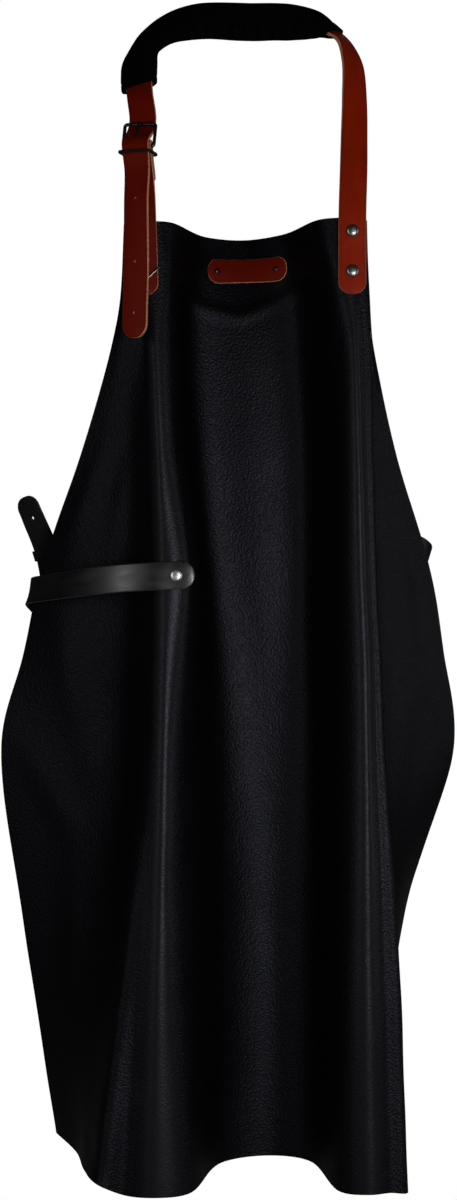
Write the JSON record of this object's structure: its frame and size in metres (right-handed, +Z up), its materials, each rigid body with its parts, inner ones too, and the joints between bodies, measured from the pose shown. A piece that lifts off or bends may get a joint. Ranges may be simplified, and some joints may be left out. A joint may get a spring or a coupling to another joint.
{
  "type": "leather bib apron",
  "caption": "Black leather bib apron hanging in folds, with a brown leather neck strap and padded sleeve, a buckled waist strap and a bare label patch.",
  "frame": {"origin": "at the nape, on the middle line of the neck strap inside its padded sleeve, where the apron hangs", "axes": "+Z up, -Y out of the front of the apron, +X towards the right of the picture"},
  "size_m": [0.4388, 0.3052, 1.111],
  "materials": {
    "black_leather": "satin, fine grain",
    "black_strap_leather": "smooth satin",
    "brown_leather": "smooth satin, pale cut edges",
    "pad_fabric": "matt knitted cloth",
    "gunmetal": "dark plated",
    "steel": "polished"
  },
  "bodies": {
    "root": {"apron_panel": "black_leather", "waist_strap_left": "black_strap_leather", "waist_strap_right": "black_strap_leather", "waist_keeper": "black_strap_leather", "keeper_upper": "black_strap_leather", "neck_strap": "brown_leather", "buckle_strap": "brown_leather", "label_patch": "brown_leather", "neck_pad": "pad_fabric", "neck_buckle_frame": "gunmetal", "neck_buckle_prong": "gunmetal", "waist_buckle_frame": "gunmetal", "waist_buckle_prong": "gunmetal", "strap_rivet_left_1": "gunmetal", "strap_rivet_left_2": "gunmetal", "strap_rivet_right_1": "gunmetal", "strap_rivet_right_2": "gunmetal", "label_rivet_left": "gunmetal", "label_rivet_right": "gunmetal", "waist_rivet_left": "steel", "keeper_lower": "steel"}
  },
  "joints": []
}
